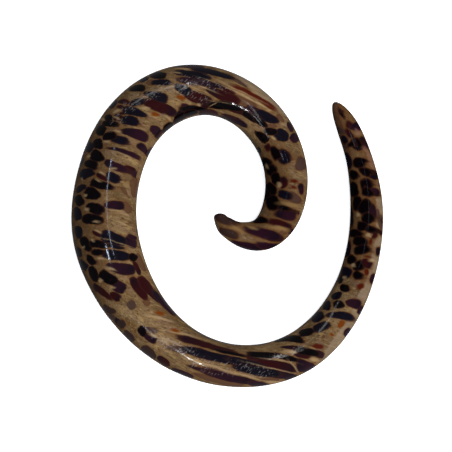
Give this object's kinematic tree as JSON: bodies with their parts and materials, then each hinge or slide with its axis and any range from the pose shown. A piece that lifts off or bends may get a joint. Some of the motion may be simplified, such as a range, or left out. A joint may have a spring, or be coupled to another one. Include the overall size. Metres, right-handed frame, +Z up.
{
  "type": "spiral ear taper",
  "caption": "Flat spiral ear taper of lacquered palm wood: a round bar that swells from a blunt hooked inner tip to its thickest stretch, then thins to a pointed tail.",
  "frame": {"origin": "under the middle of the piece's box, on the surface that it lies on", "axes": "+X from the thickest stretch towards the tail, +Y in the spiral's plane on the side of both tips, +Z up through the spiral as it lies on its side"},
  "size_m": [0.0588, 0.0522, 0.01],
  "materials": {
    "palm_wood": "tan palm wood with dark straight bundles, polished and lacquered to a satin gloss"
  },
  "bodies": {
    "root": {"spiral_taper": "palm_wood"}
  },
  "joints": []
}
